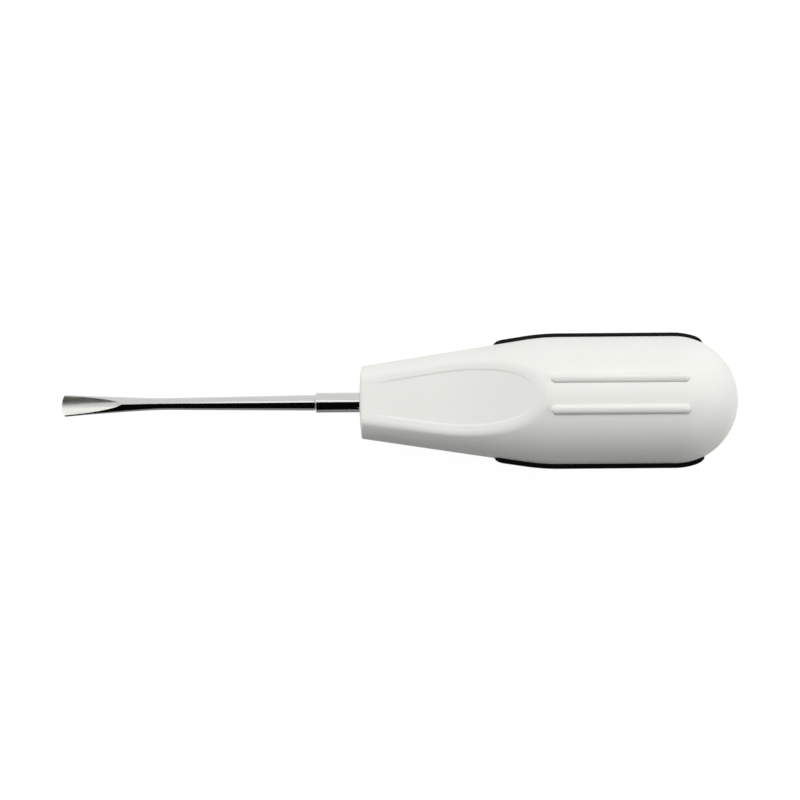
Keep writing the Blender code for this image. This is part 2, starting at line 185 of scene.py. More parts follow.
def length(name, description, default):
    return bpy.props.FloatProperty(name=name, description=description, default=default, min=0.0,
                                   precision=5, unit="LENGTH", subtype="DISTANCE")


def turn(name, description, degrees):
    return bpy.props.FloatProperty(name=name, description=description, default=math.radians(degrees),
                                   unit="ROTATION", subtype="ANGLE")


def share(name, description, default):
    return bpy.props.FloatProperty(name=name, description=description, default=default,
                                   min=0.0, max=1.0, subtype="FACTOR")


def tint(name, description, default):
    return bpy.props.FloatVectorProperty(name=name, description=description, default=default,
                                         size=3, min=0.0, max=1.0, subtype="COLOR")


class ElevatorSteelSizes(bpy.types.PropertyGroup):
    reach: length("Reach", "Blade tip to the front of the collar", 0.0566)
    collar_radius: length("Collar radius", "Outer radius of the collar", 0.00225)
    collar_chamfer: length("Collar chamfer", "Chamfer on the collar's front edge", 0.0002)
    collar_cone: length("Collar cone", "How far the collar's front face falls back", 0.00002)
    root_radius: length("Root radius", "Shank's radius where it meets the collar", 0.00177)
    root_fillet: length("Root fillet", "Fillet between the shank and the collar", 0.00018)
    neck_radius: length("Neck radius", "Shank's radius where it is thinnest", 0.00136)
    straight_length: length("Straight length", "Straight part of the shank", 0.0316)
    bend_radius: length("Bend radius", "Radius of the bend behind the blade", 0.110)
    bend_angle: turn("Bend angle", "How far the blade is bent down", 6.8)
    blade_width: length("Blade width", "Width across the cutting end", 0.0050)
    blade_thickness: length("Blade thickness", "Thickness of the blank at the tip", 0.00236)
    flare_length: length("Flare length", "Tip to the neck", 0.022)
    flare_power: bpy.props.FloatProperty(name="Flare power", description="How late the blade widens",
                                         default=1.25, min=1.0)
    thinning_length: length("Thinning length", "Length over which the neck turns to the blade", 0.011)
    rim_drop: share("Rim drop", "Part of the upper half that is gone at the tip", 0.80)
    rim_length: length("Rim length", "Length over which the upper half grows", 0.008)
    rim_power: bpy.props.FloatProperty(name="Rim power", description="How soon the upper half grows",
                                       default=2.2, min=1.0)
    scoop_length: length("Scoop length", "Length of the ground hollow", 0.0134)
    scoop_radius: length("Scoop radius", "Radius of the ground hollow before the tip", 0.0028)
    scoop_end_radius: length("Scoop end radius", "Radius of the ground hollow behind its end", 0.0021)
    scoop_spread: turn("Scoop spread", "Half the arc of the hollow", 63)
    edge_thickness: length("Edge thickness", "Thickness of the cutting edge", 0.00016)
    tip_corner_radius: length("Tip corner radius", "Round corners of the cutting edge", 0.0011)
    tip_crown_radius: length("Tip crown radius", "Crown of the cutting edge", 0.0042)
    seat_depth: length("Seat depth", "Part of the collar that sits in the handle", 0.006)
    tang_length: length("Tang length", "Handle's face to the end of the tang", 0.052)
    tang_half_width: length("Tang half width", "Half the width of the square tang", 0.0017)
    tang_chamfer: length("Tang chamfer", "Chamfer at the ends of the tang", 0.0005)
    waist_length: length("Waist length", "Length of a locking waist of the tang", 0.0028)
    waist_depth: length("Waist depth", "How deep a locking waist is", 0.0004)
    waist_ramp: length("Waist ramp", "Length of a waist's sloping ends", 0.0004)
    waist_spacing: length("Waist spacing", "Distance between the two waists", 0.016)


class ElevatorHandleSizes(bpy.types.PropertyGroup):
    length: length("Length", "Handle's face to its rear end", 0.0837)
    front_radius: length("Front radius", "Radius at the face, without its round corner", 0.00795)
    front_dome: length("Front dome", "How far the face bulges", 0.00044)
    front_corner_radius: length("Front corner radius", "Round edge of the face", 0.00075)
    taper_length: length("Taper length", "Face to where the taper would meet the belly", 0.0404)
    shoulder_radius: length("Shoulder radius", "Blend between the taper and the belly", 0.050)
    belly_radius: length("Belly radius", "Radius of the belly and the rear end", 0.01415)
    flat_half_depth: length("Flat half depth", "Half the depth of the handle at its face", 0.0062)
    flat_angle: turn("Flat angle", "Slope of the thumb flats", 4.0)
    dish_start: length("Dish start", "Face to where the flats begin to curve up", 0.0168)
    crease_softness: length("Crease softness", "Rounding where a flat meets the body", 0.00065)
    panel_start: length("Panel start", "Face to the front of the leaf panel", 0.0024)
    panel_half_width: length("Panel half width", "Half the leaf panel's greatest width", 0.0063)
    panel_widest: length("Panel widest", "Handle's face to where the panel is widest", 0.0247)
    panel_end_setback: length("Panel end setback", "Panel's end to the end of the taper", 0.0019)
    panel_end_power: bpy.props.FloatProperty(name="Panel end power", default=2.3, min=1.0,
                                             description="How blunt the panel's end is")
    panel_depth: length("Panel depth", "How deep the leaf panel is sunk", 0.00012)
    panel_draft: length("Panel draft", "Width of the panel's sloping wall", 0.0004)
    panel_fade: length("Panel fade", "Length over which the panel gets its depth", 0.0055)
    panel_end_fade: length("Panel end fade", "Length over which the panel loses its depth again", 0.0045)
    rib_height: length("Rib height", "Height of the ribs over the belly's crown", 0.0004)
    rib_width: length("Rib width", "Width of a rib", 0.0022)
    rib_edge_radius: length("Rib edge radius", "Round edges of a rib", 0.00102)
    rib_spacing: length("Rib spacing", "Distance between the two ribs", 0.0067)
    rib_setback: length("Rib setback", "End of the taper to the front of a rib", 0.0012)
    rib_overrun: length("Rib overrun", "How far a rib runs on to the round rear", 0.0022)
    rib_root: length("Rib root", "How far a rib reaches into the handle", 0.0025)


class ElevatorStripSizes(bpy.types.PropertyGroup):
    width: length("Width", "Width of a strip", 0.0021)
    depth: length("Depth", "Part of a strip that sits in the groove", 0.0015)
    proud: length("Proud", "Part of a strip that stands out", 0.0009)
    edge_radius: length("Edge radius", "Round edges of a strip", 0.00045)
    nose: length("Nose", "Length of the rounded end", 0.0022)
    front_setback: length("Front setback", "Handle's face to the strip", 0.0298)
    rear_setback: length("Rear setback", "Strip to the rear end of the handle", 0.0076)
    seam: length("Seam", "Gap between a strip and its groove", 0.00003)


class ElevatorFinishes(bpy.types.PropertyGroup):
    steel: tint("Steel", "Colour of the polished steel", (0.61, 0.61, 0.60))
    steel_roughness: share("Steel roughness", "Roughness of the polished steel", 0.08)
    ground_steel: tint("Ground steel", "Colour of the ground hollow of the blade", (0.98, 0.99, 0.92))
    ground_roughness: share("Ground roughness", "Roughness of the ground hollow of the blade", 0.48)
    plastic: tint("Plastic", "Colour of the moulded handle", (0.81, 0.81, 0.775))
    plastic_roughness: share("Plastic roughness", "Roughness of the moulded handle", 0.42)
    rubber: tint("Rubber", "Colour of the side strips", (0.003, 0.0024, 0.0022))
    rubber_roughness: share("Rubber roughness", "Roughness of the side strips", 0.5)


class ElevatorStage(bpy.types.PropertyGroup):
    floor_size: length("Floor size", "Side of the square floor", 3.0)
    floor_colour: tint("Floor colour", "Colour of the floor", (0.60, 0.60, 0.60))
    camera_distance: length("Camera distance", "Camera to the middle of the instrument", 0.55)
    camera_tilt: turn("Camera tilt", "How far the camera leans from straight above", 6.5)
    camera_roll: turn("Camera roll", "Turn of the picture", 0.45)
    focal_length: bpy.props.FloatProperty(name="Focal length", description="Lens, in millimetres",
                                          default=111.8, min=1.0, unit="CAMERA")
    key_power: bpy.props.FloatProperty(name="Key power", description="Soft box over the left side",
                                       default=6.9, min=0.0, unit="POWER")
    rear_power: bpy.props.FloatProperty(name="Rear power", description="Soft box behind the handle",
                                        default=4.8, min=0.0, unit="POWER")
    front_power: bpy.props.FloatProperty(name="Front power", description="Soft box before the blade",
                                         default=1.2, min=0.0, unit="POWER")


# Shared ways of working

def start_clean():
    if bpy.context.object and bpy.context.object.mode != "OBJECT":
        bpy.ops.object.mode_set(mode="OBJECT")
    bpy.ops.object.select_all(action="DESELECT")


def place_vertices(mesh_edit, indices, points):
    mesh_edit.verts.ensure_lookup_table()
    for index, point in zip(indices, points):
        mesh_edit.verts[index].co = point


def next_ring(mesh_edit, indices, old_count):
    """The new neighbours of a ring that was just extruded, in the ring's own order."""
    mesh_edit.verts.ensure_lookup_table()
    found = []
    for index in indices:
        for edge in mesh_edit.verts[index].link_edges:
            other = edge.other_vert(mesh_edit.verts[index])
            if other.index >= old_count:
                found.append(other.index)
    return found


def grow_rings(name, rings):
    """Extrude a circle's edge once for every further ring, then fill the two open ends."""
    start_clean()
    bpy.ops.mesh.primitive_circle_add(vertices=len(rings[0]), radius=1.0, fill_type="NOTHING")
    piece = bpy.context.active_object
    piece.name = piece.data.name = name
    bpy.ops.object.mode_set(mode="EDIT")
    bpy.ops.mesh.select_mode(type="EDGE")
    bpy.ops.mesh.select_all(action="SELECT")
    mesh_edit = bmesh.from_edit_mesh(piece.data)
    indices = list(range(len(rings[0])))
    place_vertices(mesh_edit, indices, rings[0])
    for ring in rings[1:]:
        old_count = len(mesh_edit.verts)
        bpy.ops.mesh.extrude_edges_move()
        mesh_edit = bmesh.from_edit_mesh(piece.data)
        mesh_edit.verts.index_update()
        indices = next_ring(mesh_edit, indices, old_count)
        place_vertices(mesh_edit, indices, ring)
    bpy.ops.mesh.select_all(action="DESELECT")
    bpy.ops.mesh.select_non_manifold()
    bpy.ops.mesh.edge_face_add()
    bpy.ops.mesh.select_all(action="SELECT")
    bpy.ops.mesh.normals_make_consistent(inside=False)
    bpy.ops.object.mode_set(mode="OBJECT")
    if [len(mesh_face.vertices) for mesh_face in piece.data.polygons].count(len(rings[0])) != 2:
        raise RuntimeError(name + " is not closed at both ends")
    return piece


def apply_boolean(piece, tool, operation):
    """Cut or join a piece with a tool; what the tool cuts takes the tool's own material."""
    start_clean()
    modifier = piece.modifiers.new(tool.name, "BOOLEAN")
    modifier.operation = operation
    modifier.solver = "EXACT"
    modifier.material_mode = "TRANSFER"
    modifier.object = tool
    piece.select_set(True)
    bpy.context.view_layer.objects.active = piece
    bpy.ops.object.modifier_apply(modifier=modifier.name)
    bpy.data.objects.remove(tool, do_unlink=True)


def join_pieces(pieces):
    start_clean()
    for piece in pieces:
        piece.select_set(True)
    bpy.context.view_layer.objects.active = pieces[0]
    bpy.ops.object.join()
    return pieces[0]


def finish_piece(piece, sharp_angle, node):
    start_clean()
    piece.select_set(True)
    bpy.context.view_layer.objects.active = piece
    bpy.ops.object.mode_set(mode="EDIT")
    bpy.ops.mesh.select_all(action="SELECT")
    bpy.ops.mesh.remove_doubles(threshold=MERGE_DISTANCE)
    bpy.ops.mesh.normals_make_consistent(inside=False)
    bpy.ops.object.mode_set(mode="OBJECT")
    bpy.ops.object.transform_apply(location=True, rotation=True, scale=True)
    bpy.ops.object.shade_smooth_by_angle(angle=sharp_angle)
    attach(piece, "root")
    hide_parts(node)


def arc_points(centre, radius, start, end, steps):
    points = []
    for step in range(steps + 1):
        angle = start + (end - start) * step / steps
        points.append((centre[0] + radius * math.cos(angle), centre[1] + radius * math.sin(angle)))
    return points


def axis_height():
    handle = bpy.context.scene.elevator_handle
    return handle.belly_radius + handle.rib_height


def face_x():
    return REAR_X - bpy.context.scene.elevator_handle.length


# Steel blade, shank, collar and tang

def shank_line(distance):
    """Middle of the shank at a distance before the collar: place along X, height, slope."""
    steel = bpy.context.scene.elevator_steel
    bend_length = steel.bend_radius * steel.bend_angle
    bent = min(max(distance - steel.straight_length, 0.0), bend_length)
    angle = bent / steel.bend_radius
    beyond = max(distance - steel.straight_length - bend_length, 0.0)
    reach = min(distance, steel.straight_length)
    reach += steel.bend_radius * math.sin(angle) + beyond * math.cos(angle)
    drop = steel.bend_radius * (1 - math.cos(angle)) + beyond * math.sin(angle)
    return TIP_X + steel.reach - reach, axis_height() - drop, angle


def distance_at(from_tip):
    low, high = 0.0, REAR_X - TIP_X
    for _ in range(SEARCH_STEPS):
        middle = (low + high) / 2
        if shank_line(middle)[0] > TIP_X + from_tip:
            low = middle
        else:
            high = middle
    return low


def oval_ring(x, z, half_y, half_z, tilt=0.0, power=2.0, upper=1.0):
    """An oval across the X axis, tilted about Y. A power above 2 makes it a rounded square.

    The upper half can be lower than the other: upper is its share of half_z.
    """
    ring = []
    for step in range(RING_POINTS):
        angle = math.tau * step / RING_POINTS
        across, up = math.cos(angle), math.sin(angle)
        reach = (abs(across) ** power + abs(up) ** power) ** (-1.0 / power)
        height = half_z * up * reach * (upper if up > 0 else 1.0)
        ring.append((x - height * math.sin(tilt), half_y * across * reach, z + height * math.cos(tilt)))
    return ring


def blank_ring(from_tip):
    steel = bpy.context.scene.elevator_steel
    x, z, slope = shank_line(distance_at(from_tip))
    before_neck = max(0.0, steel.flare_length - max(from_tip, 0.0))
    flare = before_neck / steel.flare_length
    thinning = min(1.0, before_neck / steel.thinning_length)
    half_width = steel.neck_radius
    half_width += (steel.blade_width / 2 - steel.neck_radius) * flare ** steel.flare_power
    below = steel.neck_radius + (steel.blade_thickness / 2 - steel.neck_radius) * thinning
    drop = steel.rim_drop * max(0.0, 1 - max(from_tip, 0.0) / steel.rim_length) ** steel.rim_power
    return oval_ring(x, z, half_width, below, slope, upper=1 - drop)


def tang_rings(clearance):
    steel = bpy.context.scene.elevator_steel
    half = steel.tang_half_width + clearance
    radius = steel.collar_radius + clearance
    seat_end = face_x() + steel.seat_depth + clearance
    tang_end = face_x() + steel.tang_length + clearance
    height = axis_height()
    outer = steel.waist_length / 2 - clearance
    inner = outer - steel.waist_ramp
    narrow = half - steel.waist_depth
    places = [(seat_end + steel.tang_chamfer, half)]
    for count in range(1, TANG_WAISTS + 1):
        middle = face_x() + steel.seat_depth + count * steel.waist_spacing
        places += [(middle - outer, half), (middle - inner, narrow)]
        places += [(middle + inner, narrow), (middle + outer, half)]
    places += [(tang_end - steel.tang_chamfer, half), (tang_end, half - steel.tang_chamfer)]
    rings = [oval_ring(seat_end, height, radius, radius)]
    rings += [oval_ring(x, height, size, size, power=TANG_SQUARENESS) for x, size in places]
    return rings


def scoop_tool():
    """The grinding cut: a tapering trough that climbs from the cutting edge out of the shank's top."""
    steel = bpy.context.scene.elevator_steel
    start_x, start_z, _ = shank_line(distance_at(0.0))
    end_x = shank_line(distance_at(steel.scoop_length))[0]
    floor_start = start_z - steel.blade_thickness / 2 + steel.edge_thickness
    floor_end = max(point[2] for point in blank_ring(steel.scoop_length))
    climb = (floor_end - floor_start) / (end_x - start_x)
    spread = steel.scoop_spread
    down = -math.pi / 2
    ends = (
        (start_x - CUTTER_MARGIN, steel.scoop_radius),
        (end_x + CUTTER_MARGIN, steel.scoop_end_radius),
    )
    rings = []
    for x, radius in ends:
        bottom = arc_points((0, radius), radius, down - spread, down + spread, SCOOP_STEPS)
        reach = radius + steel.blade_width
        side = bottom[-1][0] + reach * math.cos(spread)
        top = bottom[-1][1] + reach * math.sin(spread)
        outline = [(-side, top)] + bottom + [(side, top)]
        floor = floor_start + climb * (x - start_x)
        rings.append([(x, across, floor + up) for across, up in outline])
    return grow_rings("scoop_grinder", rings)


def tip_tool():
    """Trims the blade's end to its crowned edge and round corners."""
    steel = bpy.context.scene.elevator_steel
    corner = steel.tip_corner_radius
    crown = steel.tip_crown_radius
    crown_x = TIP_X + crown
    corner_y = steel.blade_width / 2 - corner
    swing = math.asin(corner_y / (crown - corner))
    corner_x = crown_x - (crown - corner) * math.cos(swing)
    edge = arc_points((crown_x, 0), crown, math.pi + swing, math.pi - swing, TIP_STEPS)
    upper = arc_points((corner_x, corner_y), corner, math.pi - swing, math.pi / 2, TIP_STEPS)
    lower = [(x, -y) for x, y in reversed(upper)]
    far = TIP_X - 2 * CUTTER_MARGIN
    side = steel.blade_width / 2 + CUTTER_MARGIN
    outline = [(corner_x, -side), (far, -side), (far, side), (corner_x, side)]
    outline += (lower + edge[1:-1] + upper)[::-1]
    return grow_rings("tip_trimmer", [[(x, y, z) for x, y in outline] for z in (0, 2 * axis_height())])


class ELEVATOR_OT_blade_shank(bpy.types.Operator):
    """Ground blade, bent shank, collar and tang, in one piece of steel"""
    bl_idname = "elevator.blade_shank"
    bl_label = "Blade and shank"

    def execute(self, context):
        steel = context.scene.elevator_steel
        bend_start = steel.reach - steel.straight_length
        places = [-CUTTER_MARGIN]
        places += [steel.flare_length * step / BLADE_STATIONS for step in range(BLADE_STATIONS + 1)]
        places.append((places[-1] + bend_start) / 2)
        places.append(bend_start)
        rings = [blank_ring(place) for place in places]
        collar_x = TIP_X + steel.reach
        height = axis_height()
        run = steel.straight_length - steel.root_fillet
        for step in range(1, SHANK_STATIONS):
            part = step / SHANK_STATIONS
            radius = steel.neck_radius + (steel.root_radius - steel.neck_radius) * part
            x = collar_x - steel.straight_length + run * part
            rings.append(oval_ring(x, height, radius, radius))
        fillet = steel.root_fillet
        turned = arc_points((collar_x - fillet, steel.root_radius + fillet), fillet, -math.pi / 2, 0,
                            CORNER_STEPS)
        chamfer = steel.collar_chamfer
        turned.append((collar_x + steel.collar_cone, steel.collar_radius - chamfer))
        turned.append((collar_x + chamfer, steel.collar_radius))
        rings += [oval_ring(x, height, radius, radius) for x, radius in turned]
        rings += tang_rings(0.0)
        blade = grow_rings("elevator_blade", rings)
        finishes = context.scene.elevator_finishes
        polished = steel_material("polished_steel", finishes.steel, finishes.steel_roughness)
        ground = steel_material("ground_steel", finishes.ground_steel, finishes.ground_roughness)
        blade.data.materials.append(polished)
        grinder = scoop_tool()
        grinder.data.materials.append(ground)
        apply_boolean(blade, grinder, "DIFFERENCE")
        apply_boolean(blade, tip_tool(), "DIFFERENCE")
        finish_piece(blade, math.radians(BLADE_SHARP), "blade_shank")
        return {"FINISHED"}


# Moulded handle

def body_radius(x):
    """Radius of the turned form at a place along X, behind the front corner."""
    handle = bpy.context.scene.elevator_handle
    shoulder = handle.shoulder_radius
    shoulder_x = face_x() + handle.taper_length
    taper = math.atan2(handle.belly_radius - handle.front_radius, handle.taper_length)
    tangent = shoulder * math.tan(taper / 2)
    if x < shoulder_x - tangent * math.cos(taper):
        return handle.belly_radius - (shoulder_x - x) * math.tan(taper)
    if x < shoulder_x + tangent:
        back = shoulder_x + tangent - x
        return handle.belly_radius - shoulder + math.sqrt(shoulder ** 2 - back ** 2)
    centre_x = REAR_X - handle.belly_radius
    if x < centre_x:
        return handle.belly_radius
    return math.sqrt(max(0.0, handle.belly_radius ** 2 - (x - centre_x) ** 2))


def flat_height(x):
    """Half depth of the handle between its thumb flats, at a place along X."""
    handle = bpy.context.scene.elevator_handle
    start_x = face_x() + handle.dish_start
    straight = handle.flat_half_depth + (min(x, start_x) - face_x()) * math.tan(handle.flat_angle)
    if x <= start_x:
        return straight
    run = face_x() + handle.taper_length - start_x
    rise = handle.belly_radius - straight
    cosine, sine = math.cos(handle.flat_angle), math.sin(handle.flat_angle)
    radius = (run ** 2 + rise ** 2) / (2 * (rise * cosine - run * sine))
    lean = sine + (x - start_x) / radius
    if lean >= 1:
        return straight + radius
    return straight + radius * (cosine - math.sqrt(1 - lean ** 2))


def flat_half_width(x):
    return math.sqrt(max(0.0, body_radius(x) ** 2 - flat_height(x) ** 2))


def panel_half_width(x):
    """An even margin inside the flat's edge up to the widest place, then a blunt round end."""
    handle = bpy.context.scene.elevator_handle
    widest_x = face_x() + handle.panel_widest
    if x < widest_x:
        return flat_half_width(x) - flat_half_width(widest_x) + handle.panel_half_width
    part = min(1.0, (x - widest_x) / (panel_end_x() - widest_x))
    return handle.panel_half_width * (1 - part ** handle.panel_end_power) ** (1 / handle.panel_end_power)


def panel_end_x():
    handle = bpy.context.scene.elevator_handle
    return face_x() + handle.taper_length - handle.panel_end_setback


def smooth_step(value):
    value = min(max(value, 0.0), 1.0)
    return value * value * (3 - 2 * value)


def soft_least(first, second, softness):
    """The smaller of two distances, with the corner between them rounded."""
    near = max(softness - abs(first - second), 0.0) / softness
    return min(first, second) - near * near * softness / 4


def skin_point(x, angle, body, flat, panel):
    """Distance from the axis to the skin; the angle is counted from the middle of the flat."""
    handle = bpy.context.scene.elevator_handle
    cosine = math.cos(angle)
    if cosine < SIDE_COSINE:
        return body
    depth = 0.0
    fade_in = (x - face_x() - handle.panel_start) / handle.panel_fade
    fade_out = (panel_end_x() - x) / handle.panel_end_fade
    fade = min(1.0, fade_in, fade_out)
    if fade > 0 and panel > 0:
        fade = smooth_step(fade)
        for _ in range(WALL_PASSES):
            across = (flat - depth) * math.tan(angle)
            depth = handle.panel_depth * fade * smooth_step((panel - across) / handle.panel_draft)
    return soft_least(body, (flat - depth) / cosine, handle.crease_softness)


def column_angles(x, body, flat, panel, flat_end_x):
    """Angles of the skin's columns in a quarter turn, packed close along the edges of the forms."""
    handle = bpy.context.scene.elevator_handle
    crease = math.acos(min(1.0, flat / body)) if flat < body else 0.0
    half_crease = HALF_CREASE / body
    wall_outer = math.atan2(max(panel, 0.0) + WALL_LEAD * handle.panel_draft, flat)
    wall_inner = math.atan2(max(panel - (1 + WALL_LEAD) * handle.panel_draft, 0.0), flat)
    columns = (PANEL_COLUMNS, WALL_COLUMNS, MARGIN_COLUMNS, CREASE_COLUMNS, SIDE_COLUMNS)
    marks = [wall_inner, wall_outer, crease - half_crease, crease + half_crease, math.pi / 2]
    least = LEAST_COLUMN / body
    total = sum(columns)
    spread = smooth_step((x - flat_end_x) / COLUMN_SPREAD)
    angles = [0.0]
    count = 0
    before = 0.0
    for number, mark in zip(columns, marks):
        count += number
        packed = max(mark, before + number * least)
        even = math.pi / 2 * count / total
        target = packed + (even - packed) * spread
        if count == total:
            target = math.pi / 2
        last = angles[-1]
        angles += [last + (target - last) * (step + 1) / number for step in range(number)]
        before = packed
    return angles


def skin_ring(x, flat_end_x, inset=0.0):
    """One closed section of the handle. An inset pulls it in."""
    body, flat, panel = body_radius(x), flat_height(x), panel_half_width(x)
    quarter = column_angles(x, body, flat, panel, flat_end_x)
    reach = [skin_point(x, angle, body, flat, panel) - inset for angle in quarter]
    height = axis_height()
    turns = list(zip(quarter, reach))
    full = turns[:-1]
    full += [(math.pi - angle, radius) for angle, radius in turns[:0:-1]]
    full += [(math.pi + angle, radius) for angle, radius in turns[:-1]]
    full += [(math.tau - angle, radius) for angle, radius in turns[:0:-1]]
    return [(x, radius * math.sin(angle), height + radius * math.cos(angle)) for angle, radius in full]


def find_flat_end():
    handle = bpy.context.scene.elevator_handle
    low, high = face_x() + handle.dish_start, face_x() + handle.taper_length + CUTTER_MARGIN
    for _ in range(SEARCH_STEPS):
        middle = (low + high) / 2
        if flat_height(middle) < body_radius(middle):
            low = middle
        else:
            high = middle
    return low


def skin_places(flat_end_x):
    """Places of the sections along X, close together where the flat and its panel end."""
    handle = bpy.context.scene.elevator_handle
    start = face_x() + handle.front_corner_radius + FRONT_GAP
    close_start = flat_end_x - CLOSE_BEFORE
    close_end = flat_end_x + CLOSE_BEHIND
    rear_start = REAR_X - handle.belly_radius
    places = spaced(start, close_start, TAPER_GAP)
    places += spaced(close_start, close_end, CLOSE_GAP)
    places += spaced(close_end, rear_start, BELLY_GAP)
    for step in range(REAR_STEPS):
        angle = math.pi / 2 * step / REAR_STEPS
        places.append(rear_start + handle.belly_radius * math.sin(angle))
    places.append(REAR_X - POLE_GAP)
    return places


def spaced(start, end, gap):
    steps = max(1, round((end - start) / gap))
    return [start + (end - start) * step / steps for step in range(steps)]


def front_rings(flat_end_x):
    """The domed face and its round edge, from the middle outwards."""
    handle = bpy.context.scene.elevator_handle
    corner = handle.front_corner_radius
    body_x = face_x() + corner
    edge = skin_ring(body_x, flat_end_x, inset=corner)
    middle = Vector((0, 0, axis_height()))
    rings = []
    for portion in FACE_RINGS + (1.0,):
        ring = []
        for point in edge:
            flat_point = Vector((0, point[1], point[2]))
            moved = middle + (flat_point - middle) * portion
            out = (moved - middle).length / handle.front_radius
            ring.append((face_x() + handle.front_dome * out * out, moved.y, moved.z))
        rings.append(ring)
    rim = [point[0] for point in rings[-1]]
    for step in range(1, CORNER_STEPS):
        angle = math.pi / 2 * step / CORNER_STEPS
        inset = corner * (1 - math.sin(angle))
        ring = skin_ring(body_x, flat_end_x, inset=inset)
        forward = 1 - math.cos(angle)
        rings.append([(x + (point[0] - x) * forward, point[1], point[2]) for x, point in zip(rim, ring)])
    return rings


def add_rib(y, side):
    """A bar with round ends: a box whose upright edges and crown edges are bevelled."""
    handle = bpy.context.scene.elevator_handle
    front_x = face_x() + handle.taper_length + handle.rib_setback
    rear_x = REAR_X - handle.belly_radius + handle.rib_overrun
    crown = handle.belly_radius + handle.rib_height
    root = crown - handle.rib_edge_radius - handle.rib_root
    start_clean()
    middle = ((front_x + rear_x) / 2, y, axis_height() + side * (crown + root) / 2)
    bpy.ops.mesh.primitive_cube_add(size=1.0, location=middle)
    rib = bpy.context.active_object
    rib.name = "rib"
    rib.scale = (rear_x - front_x, handle.rib_width, crown - root)
    bpy.ops.object.transform_apply(location=True, rotation=True, scale=True)
    bpy.ops.object.mode_set(mode="EDIT")
    bpy.ops.mesh.select_mode(type="EDGE")
    bpy.ops.mesh.select_all(action="DESELECT")
    rib_mesh = bmesh.from_edit_mesh(rib.data)
    for edge in rib_mesh.edges:
        along = edge.verts[0].co - edge.verts[1].co
        edge.select_set(abs(along.z) > abs(along.x) + abs(along.y))
    bpy.ops.mesh.bevel(offset=handle.rib_width / 2 - RIB_END_GAP, segments=RIB_END_SEGMENTS,
                       affect="EDGES", clamp_overlap=True)
    bpy.ops.mesh.select_all(action="DESELECT")
    rib_mesh = bmesh.from_edit_mesh(rib.data)
    crown_z = axis_height() + side * crown
    for edge in rib_mesh.edges:
        at_crown = all(abs(corner.co.z - crown_z) < TINY for corner in edge.verts)
        rim = any(abs(face.normal.z) < LEVEL_NORMAL for face in edge.link_faces)
        edge.select_set(at_crown and rim)
    bpy.ops.mesh.bevel(offset=handle.rib_edge_radius, segments=RIB_EDGE_SEGMENTS,
                       affect="EDGES", clamp_overlap=False)
    bpy.ops.object.mode_set(mode="OBJECT")
    return rib


class ELEVATOR_OT_handle(bpy.types.Operator):
    """Pear-shaped moulded handle with thumb flats, leaf panels and ribs"""
    bl_idname = "elevator.handle"
    bl_label = "Handle"

    def execute(self, context):
        handle = context.scene.elevator_handle
        flat_end_x = find_flat_end()
        rings = front_rings(flat_end_x)
        rings += [skin_ring(x, flat_end_x) for x in skin_places(flat_end_x)]
        body = grow_rings("elevator_handle", rings)
        body.data.materials.append(plastic_material())
        half = handle.rib_spacing / 2
        ribs = [add_rib(y, side) for side in (1, -1) for y in (half, -half)]
        apply_boolean(body, join_pieces(ribs), "UNION")
        strips = context.scene.elevator_strips
        for side in (1, -1):
            groove = grow_rings("groove_cutter", strip_rings(side, strips.seam))
            apply_boolean(body, groove, "DIFFERENCE")
        steel = context.scene.elevator_steel
        mouth = steel.collar_radius + strips.seam
        bore = [oval_ring(face_x() - CUTTER_MARGIN, axis_height(), mouth, mouth)]
        bore += tang_rings(strips.seam)
        apply_boolean(body, grow_rings("tang_pocket_cutter", bore), "DIFFERENCE")
        finish_piece(body, math.radians(HANDLE_SHARP), "handle_body")
        return {"FINISHED"}


# Rubber strips

def strip_rings(side, clearance):
    """Sections of a strip along its groove; a clearance makes the groove, open to the outside."""
    strips = bpy.context.scene.elevator_strips
    start = face_x() + strips.front_setback - clearance
    end = REAR_X - strips.rear_setback + clearance
    half = strips.width / 2 + clearance
    depth = strips.depth + clearance
    nose = [strips.nose * (1 - math.cos(math.pi / 2 * step / STRIP_NOSE_STEPS))
            for step in range(STRIP_NOSE_STEPS + 1)]
    inner = end - start - 2 * strips.nose
    places = [start + value for value in nose]
    places += [start + strips.nose + inner * step / STRIP_STATIONS for step in range(1, STRIP_STATIONS)]
    places += [end - value for value in reversed(nose)]
    rings = []
    for x in places:
        rise = body_radius(x + TINY) - body_radius(x - TINY)
        size = math.hypot(2 * TINY, rise)
        cosine, sine = 2 * TINY / size, rise / size
        from_end = min(x - start, end - x) / cosine
        width_share = min(1.0, from_end / half)
        width = max(half * math.sqrt(1 - (1 - width_share) ** 2), TINY)
        nose_share = min(1.0, from_end / strips.nose)
        proud = strips.proud * math.sqrt(1 - (1 - nose_share) ** 2)
        if clearance:
            proud = strips.proud + CUTTER_MARGIN
        edge = min(strips.edge_radius, STRIP_EDGE_SHARE * width, STRIP_EDGE_SHARE * proud + TINY)
        section = [(-depth, -width)]
        section += arc_points((proud - edge, edge - width), edge, -math.pi / 2, 0, STRIP_CORNER_STEPS)
        section += arc_points((proud - edge, width - edge), edge, 0, math.pi / 2, STRIP_CORNER_STEPS)
        section += [(-depth, width)]
        radius = body_radius(x)
        height = axis_height()
        rings.append([(x - sine * out, side * (radius + cosine * out), height + up)
                      for out, up in section])
    return rings


class ELEVATOR_OT_strips(bpy.types.Operator):
    """The two black rubber strips along the sides of the handle"""
    bl_idname = "elevator.strips"
    bl_label = "Rubber strips"

    def execute(self, context):
        rubber = rubber_material()
        for name, side in (("grip_strip_left", 1), ("grip_strip_right", -1)):
            strip = grow_rings("elevator_" + name, strip_rings(side, 0.0))
            strip.data.materials.append(rubber)
            finish_piece(strip, math.radians(STRIP_SHARP), name)
        return {"FINISHED"}


# Materials

